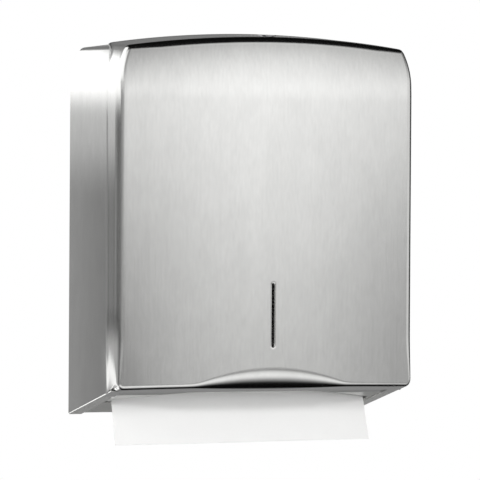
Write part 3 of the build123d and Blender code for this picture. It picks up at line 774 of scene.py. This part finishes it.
def pile_tree():
    """A node tree that piles copies of a folded towel, each a little out of line."""
    tree = bpy.data.node_groups.new("towel_pile", "GeometryNodeTree")
    made = tree.interface.new_socket
    made("Geometry", in_out="INPUT", socket_type="NodeSocketGeometry")
    made("Layers", in_out="INPUT", socket_type="NodeSocketInt")
    made("Spacing", in_out="INPUT", socket_type="NodeSocketFloat")
    made("Stray", in_out="INPUT", socket_type="NodeSocketFloat")
    made("Paper", in_out="INPUT", socket_type="NodeSocketMaterial")
    made("Geometry", in_out="OUTPUT", socket_type="NodeSocketGeometry")
    outputs = tree.nodes.new("NodeGroupInput").outputs
    towel, layers, spacing, stray, paper = [
        Signal(outputs[name]) for name in ("Geometry", "Layers", "Spacing", "Stray", "Paper")
    ]
    rise = Signal.of(tree, "ShaderNodeCombineXYZ", {}, {"Z": spacing})
    line = Signal.of(tree, "GeometryNodeMeshLine", {}, {"Count": layers, "Offset": rise})
    copies = Signal.of(tree, "GeometryNodeInstanceOnPoints", {}, {"Points": line, "Instance": towel})
    sideways = random_share(tree, STRAY_SIDEWAYS_SEED)
    fore = random_share(tree, STRAY_FORE_SEED)
    shift = Signal.of(tree, "ShaderNodeCombineXYZ", {}, {"X": sideways * stray, "Y": fore * stray})
    moved = Signal.of(tree, "GeometryNodeTranslateInstances", {}, {"Instances": copies, "Translation": shift})
    real = Signal.of(tree, "GeometryNodeRealizeInstances", {}, {"Geometry": moved})
    coated = Signal.of(tree, "GeometryNodeSetMaterial", {}, {"Geometry": real, "Material": paper})
    Signal.node(tree, "NodeGroupOutput", {}, {"Geometry": coated})
    return tree


def piled(made, tree, **inputs):
    """Piles one folded towel with the tree and turns the pile into plain mesh."""
    modifier = made.modifiers.new("pile", "NODES")
    modifier.node_group = tree
    for item in tree.interface.items_tree:
        if item.in_out == "INPUT" and item.name in inputs:
            modifier[item.identifier] = inputs[item.name]
    baked(made)
    smoothed(made, PAPER_CREASE)


towel_pile = pile_tree()
full_layers = int((STACK_TALL - SHORT_LAYERS * LAYER_TALL) / LAYER_TALL)
lower_towels = folded_towel("towel_pile_lower", STACK_SHORT_FRONT, STACK_LIFT)
upper_towels = folded_towel("towel_pile_upper", STACK_FRONT, STACK_LIFT + SHORT_LAYERS * LAYER_TALL)
for made, layers in ((lower_towels, SHORT_LAYERS), (upper_towels, full_layers)):
    piled(made, towel_pile, Layers=layers, Spacing=LAYER_TALL * MM, Stray=STRAY * MM, Paper=towel_paper)
    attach(made, "casing")
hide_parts("towel_stack")

# The towel that hangs out: the lowest one, pulled half way through the mouth and leaning out over its lip.
# It is thin creped tissue, so it bellies a little between its edges and its lower edge isn't quite level.
HANG_LEAN = math.radians(15.0)
HANG_Y = -57.54
HANG_H = 13.5
HANG_BELOW = 37.5
HANG_ABOVE = 58.0
HANG_THICKNESS = 0.5
HANG_SHIFT = 1.2
HANG_DRIFT = 1.0
HANG_SPREAD = 0.6
HANG_TILT = 0.9
HANG_BOW = 4.0
HANG_COLUMNS = 60
HANG_ROWS = 30
BELLY = 0.9
BELLY_WAVES = 2.3
BELLY_START = 0.6
RIPPLE = 0.35
RIPPLE_WAVES = 6.1


def hanging_spot(x, down):
    """A place on the hanging towel: across it, and down it from the mouth."""
    fall = np.clip(down / HANG_BELOW, 0.0, 1.0)
    edge = x / TOWEL_HALF
    belly = BELLY * fall * math.sin(BELLY_WAVES * edge + BELLY_START)
    belly += RIPPLE * fall * math.sin(RIPPLE_WAVES * edge)
    down = down - fall * HANG_TILT * edge
    y = HANG_Y - down * math.sin(HANG_LEAN) - belly * math.cos(HANG_LEAN)
    h = HANG_H - down * math.cos(HANG_LEAN) + belly * math.sin(HANG_LEAN)
    return (x + HANG_SHIFT + HANG_DRIFT * fall + HANG_SPREAD * fall * edge, y + HANG_BOW * edge ** 2, h)


hang_spots = []
hang_faces = []
for row in range(HANG_ROWS + 1):
    down = -HANG_ABOVE + (HANG_ABOVE + HANG_BELOW) * row / HANG_ROWS
    for column in range(HANG_COLUMNS + 1):
        hang_spots.append(hanging_spot(TOWEL_HALF * (2.0 * column / HANG_COLUMNS - 1.0), down))
for row in range(HANG_ROWS):
    for column in range(HANG_COLUMNS):
        start = row * (HANG_COLUMNS + 1) + column
        below = start + HANG_COLUMNS + 1
        hang_faces.append((start, below, below + 1, start + 1))
hanging = placed("hanging_towel_sheet", hang_spots, hang_faces)
thickened(hanging, HANG_THICKNESS, offset=0.0, angle=PAPER_CREASE, material=towel_paper)
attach(hanging, "towel")
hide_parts("hanging_towel")

# The place it is photographed in: a pale floor well below it, as it hangs at chest height, and a studio of
# feathered cards: a tall one ahead, one along the left, a white one behind it and a dark ceiling.
FLOOR_H = -1.2
FLOOR_HALF = 9.0
FLOOR_COLOUR = (0.8, 0.8, 0.79)


def level_corners(low, high, z):
    """The corners of a flat rectangle that faces up, between two places in metres."""
    return [(low[0], low[1], z), (high[0], low[1], z), (high[0], high[1], z), (low[0], high[1], z)]


def stage_sheet(name, corners):
    """A four-cornered sheet in the studio."""
    made = new_mesh(name, corners, [(0, 1, 2, 3)])
    return made


floor_corners = level_corners((-FLOOR_HALF, -FLOOR_HALF), (FLOOR_HALF, FLOOR_HALF), FLOOR_H)
floor = stage_sheet("studio_floor", floor_corners)
floor.data.materials.append(moulded("floor_paint", FLOOR_COLOUR, roughness=0.8, pit=60.0))


def feathered(place, start, full, fade, gone):
    """Brightness from edge to edge: rising, full, then fading."""
    return place.eased(start, full) * (1.0 - place.eased(fade, gone))


def glowing_card(name, corners):
    """A card that only reflections see: its node tree, its shader, and the places on it in metres."""
    made = stage_sheet(name, corners)
    made.visible_camera = False
    made.visible_diffuse = False
    made.visible_shadow = False
    paint, tree, shader = new_finish(name + "_glow")
    made.data.materials.append(paint)
    shader.inputs["Base Color"].default_value = (0.0, 0.0, 0.0, 1.0)
    shader.inputs["Specular IOR Level"].default_value = 0.0
    shader.inputs["Emission Strength"].default_value = 1.0
    return tree, shader, parts_of(tree, own_place(tree))


def upright_card(name, centre, degrees, left, right, low, high):
    """An upright glowing card through a point, turned about the vertical, with the place along it."""
    turn = math.radians(degrees)
    run = (math.cos(turn), math.sin(turn))
    feet = [(centre[0] + far * run[0], centre[1] + far * run[1]) for far in (left, right)]
    corners = [(x, y, low) for x, y in feet] + [(x, y, high) for x, y in feet[::-1]]
    tree, shader, (x, y, z) = glowing_card(name, corners)
    along = x * run[0] + y * run[1] - (centre[0] * run[0] + centre[1] * run[1])
    return tree, shader, along, z


def stepped(place, start, steps):
    """A brightness that rises or falls by an amount between two places, step by step."""
    level = start
    for amount, low, high in steps:
        level = level + amount * place.eased(low, high)
    return level


def dim_corner(along, z, amount, beside, below):
    """A factor that darkens a card's lower left corner."""
    return 1.0 - amount * (1.0 - along.eased(*beside)) * (1.0 - z.eased(*below))


# A tall card ahead and to the right, brightest level with the cover's shoulder, for the bowed front.
FRONT_GLOW = 0.8
FRONT_STEPS = [(0.5, -0.2, 0.12), (0.27, 0.09, 0.2), (-0.27, 0.15, 0.45), (-0.66, 0.4, 0.72)]
FRONT_FALL_OFF = 0.42
FRONT_FALL_OFF_STEPS = [(-0.25, -0.02, 0.1), (0.24, 0.2, 0.5)]
FRONT_MIDDLE = -0.05
FRONT_HALF = 0.75
FRONT_EDGES_ALONG = (-1.9, -1.5, 0.6, 0.78)
FRONT_EDGES_UP = (-0.33, -0.22, 0.8, 0.95)
tree, shader, along, z = upright_card(
    "front_card", centre=(0.407, -1.047), degrees=24.0, left=-2.0, right=0.9, low=-0.36, high=1.0
)
glow = stepped(z, FRONT_GLOW, FRONT_STEPS)
glow = glow * dim_corner(along, z, amount=0.6, beside=(-0.66, -0.48), below=(-0.21, -0.1))
fall_off = stepped(z, FRONT_FALL_OFF, FRONT_FALL_OFF_STEPS)
glow = glow * (1.0 - fall_off * abs(along - FRONT_MIDDLE).eased(0.0, FRONT_HALF))
joined(tree, glow, shader, "Emission Color")
joined(tree, feathered(along, *FRONT_EDGES_ALONG) * feathered(z, *FRONT_EDGES_UP), shader, "Alpha")

# A level card below and ahead, fading to black under the object, for the grip and the foot of the cover.
FOOT_CARD_H = -0.42
FOOT_GLOW = 0.5
FOOT_STEPS = [(0.75, -1.3, -0.5)]
FOOT_DARK_UNDER = (-0.43, -0.12)
FOOT_RIGHT_DIM = 0.45
FOOT_RIGHT = (0.15, 0.6)
FOOT_FRONT_EDGE = (-1.6, -1.2)
foot_card_corners = level_corners((-0.8, -1.6), (1.2, 0.06), FOOT_CARD_H)
tree, shader, (x, y, z) = glowing_card("foot_card", foot_card_corners)
glow = stepped(y, FOOT_GLOW, FOOT_STEPS) * (1.0 - y.eased(*FOOT_DARK_UNDER))
glow = glow * (1.0 - FOOT_RIGHT_DIM * x.eased(*FOOT_RIGHT))
joined(tree, glow, shader, "Emission Color")
joined(tree, y.eased(*FOOT_FRONT_EDGE), shader, "Alpha")

# An upright card behind and to the left, graded from dark at its foot to white, for the casing's bare side.
SIDE_GLOW = 0.42
SIDE_STEPS = [(0.275, 0.014, 0.09), (1.36, 0.092, 0.128), (-1.75, 0.212, 0.25)]
tree, shader, along, z = upright_card(
    "side_card", centre=(-0.2255, 0.1885), degrees=21.0, left=-0.09, right=0.09, low=-0.25, high=0.29
)
glow = stepped(z, SIDE_GLOW, SIDE_STEPS)
glow = glow * dim_corner(along, z, amount=0.5, beside=(-0.04, 0.03), below=(0.015, 0.07))
joined(tree, glow, shader, "Emission Color")

# A small card beside the lower left corner, with a bright slanted line, for the foot of the cover's wall.
CORNER_GLOW = 0.55
LINE_GLOW = 0.9
LINE_SLOPE = 1.2
LINE_START = 0.075
LINE_SIDES = (0.006, 0.02)
CORNER_GLOW_TOP = (-0.112, -0.074)
CORNER_GLOW_FRONT = (-0.128, -0.112)
CORNER_EDGE_TOP = (-0.108, -0.07)
CORNER_EDGE_FRONT = (-0.132, -0.118)
tree, shader, along, z = upright_card(
    "corner_card", centre=(-0.1475, 0.0), degrees=90.0, left=-0.135, right=-0.068, low=-0.16, high=-0.065
)
off_line = abs(along - LINE_SLOPE * z - LINE_START)
glow = CORNER_GLOW + LINE_GLOW * (1.0 - off_line.eased(*LINE_SIDES))
glow = glow * (1.0 - z.eased(*CORNER_GLOW_TOP)) * along.eased(*CORNER_GLOW_FRONT)
joined(tree, glow, shader, "Emission Color")
joined(tree, (1.0 - z.eased(*CORNER_EDGE_TOP)) * along.eased(*CORNER_EDGE_FRONT), shader, "Alpha")

# An upright white card to the left at shoulder height, for the rounded left edge of the cover.
WHITE_GLOW = 1.7
SHOULDER_GLOW_FOOT = (0.085, 0.115)
SHOULDER_EDGE_FOOT = (0.08, 0.11)
tree, shader, along, z = upright_card(
    "shoulder_card", centre=(-0.3, 0.0), degrees=90.0, left=-0.18, right=0.2, low=0.08, high=0.45
)
joined(tree, WHITE_GLOW * z.eased(*SHOULDER_GLOW_FOOT), shader, "Emission Color")
joined(tree, z.eased(*SHOULDER_EDGE_FOOT), shader, "Alpha")

# Painted shade: a dim grey glowing card in front of the hanging towel, seen only in reflections, so that the
# underside of the cover and the lip reflect grey shade instead of the paper.
MOUTH_SHADE_GLOW = 0.3
MOUTH_SHADE_FOOT = (-0.185, -0.165)
tree, shader, along, z = upright_card(
    "mouth_shade_card", centre=(0.0, -0.08), degrees=0.0, left=-0.135, right=0.15, low=-0.26, high=-0.148
)
joined(tree, MOUTH_SHADE_GLOW * z.eased(*MOUTH_SHADE_FOOT), shader, "Emission Color")

# The studio farther off: cards and flags all round, by their edges in degrees of azimuth and elevation.
world = bpy.data.worlds.new("card_studio")
bpy.context.scene.world = world
world.use_nodes = True
sky = world.node_tree
direction = Signal.of(sky, "ShaderNodeTexCoord", {}, {}, "Generated")
ahead_x, ahead_y, ahead_z = parts_of(sky, direction)
DEGREES = 180.0 / math.pi
azimuth = ahead_x.sum_with("ARCTAN2", ahead_x, 0.0 - ahead_y) * DEGREES
elevation = ahead_z.sum_with("ARCSINE", ahead_z, 0.0) * DEGREES


def sky_card(across, up):
    """A feathered patch of the studio, by its four edges across and its four edges up."""
    return feathered(azimuth, *across) * feathered(elevation, *up)


ROOM_GLOW = 0.24
AHEAD_GLOW = 1.1
RIGHT_GLOW = 0.8
WALL_GLOW = 0.08
LOW_DIM = 0.4
LEFT_DIM = 0.45
RIGHT_DIM = 0.9
CEILING_DIM = 0.985
ahead_card = sky_card((-78.0, 16.0, 26.0, 70.0), (-7.0, 2.8, 6.0, 37.0))
left_card = sky_card((-152.0, -146.0, -50.0, -18.0), (3.5, 9.0, 30.0, 48.0))
rear_card = sky_card((-175.0, -166.0, -156.0, -146.0), (3.5, 9.0, 13.0, 18.0))
white_card = sky_card((138.0, 148.0, 170.0, 178.0), (-16.0, -9.0, 4.2, 6.5))
right_card = sky_card((48.0, 62.0, 92.0, 106.0), (-12.0, -3.0, 6.0, 19.0))
right_flag = sky_card((88.0, 106.0, 132.0, 142.0), (-30.0, -20.0, 40.0, 60.0))
left_flag = feathered(azimuth, -128.0, -92.0, -76.0, -35.0)
left_wall = feathered(azimuth, -170.0, -150.0, -130.0, -100.0)
low_sides = (1.0 - elevation.eased(-6.0, 0.5)) * (1.0 - feathered(azimuth, -12.0, 16.0, 24.0, 60.0))
ceiling = elevation.eased(30.0, 42.0)
room = ROOM_GLOW + AHEAD_GLOW * ahead_card + RIGHT_GLOW * right_card + WALL_GLOW * left_wall
dimmers = [(LOW_DIM, low_sides), (LEFT_DIM, left_flag), (RIGHT_DIM, right_flag), (CEILING_DIM, ceiling)]
for dim, flag in dimmers:
    room = room * (1.0 - dim * flag)
room = room.above(WHITE_GLOW * left_card).above(WHITE_GLOW * rear_card).above(white_card)
background = sky.nodes["Background"]
sky.links.new(room.socket, background.inputs["Color"])
background.inputs["Strength"].default_value = 1.0


def lamp(name, kind, place, target, strength):
    """A lamp that faces a point and isn't seen itself."""
    data = bpy.data.lights.new(name, kind)
    data.energy = strength
    made = bpy.data.objects.new(name, data)
    bpy.context.scene.collection.objects.link(made)
    made.location = place
    made.rotation_euler = (Vector(target) - Vector(place)).to_track_quat("-Z", "Y").to_euler()
    made.visible_camera = False
    return made


# Three far lamps that light the paper and the plastics, and are kept out of the steel's reflections.
for name, place, strength, spread in (
    ("key_lamp_left", (-1.496, -1.255, 0.433), 0.78, 4.0),
    ("key_lamp_right", (1.496, -1.255, 0.433), 0.6, 4.0),
    ("fill_lamp", (0.0, -2.0, 0.21), 1.05, 25.0),
):
    sun = lamp(name, "SUN", place, (0.0, 0.0, 0.0), strength)
    sun.data.angle = math.radians(spread)
    sun.visible_glossy = False

# A soft box low on the left, set by how bright its face is.
BOX_WIDE = 1.0
BOX_HIGH = 0.4
BOX_GLOW = 1.7
box_strength = BOX_GLOW * math.pi * BOX_WIDE * BOX_HIGH
soft_box = lamp("low_side_box", "AREA", (-0.55, 0.18, -0.52), (-0.14, -0.06, -0.15), box_strength)
soft_box.data.shape = "RECTANGLE"
soft_box.data.size = BOX_WIDE
soft_box.data.size_y = BOX_HIGH

# The camera, fitted to the photograph.
CAMERA_PLACE = (-1.5358, -3.7632, 0.0401)
CAMERA_YAW = math.radians(22.513)
CAMERA_DOWN = math.radians(0.831)
CAMERA_ROLL = math.radians(0.361)
SENSOR = 36.0
FOCAL_PIXELS = 4632.4
PHOTO_PIXELS = 480.0
camera_data = bpy.data.cameras.new("photo_camera")
camera_data.sensor_width = SENSOR
camera_data.sensor_fit = "HORIZONTAL"
camera_data.lens = SENSOR * (FOCAL_PIXELS / PHOTO_PIXELS)
camera_data.clip_end = 50.0
camera = bpy.data.objects.new("photo_camera", camera_data)
bpy.context.scene.collection.objects.link(camera)
turn = Matrix.Rotation(-CAMERA_YAW, 4, "Z") @ Matrix.Rotation(math.pi / 2.0 - CAMERA_DOWN, 4, "X")
camera.matrix_world = Matrix.Translation(CAMERA_PLACE) @ turn @ Matrix.Rotation(CAMERA_ROLL, 4, "Z")
bpy.context.scene.camera = camera
bpy.context.scene.view_settings.view_transform = "Standard"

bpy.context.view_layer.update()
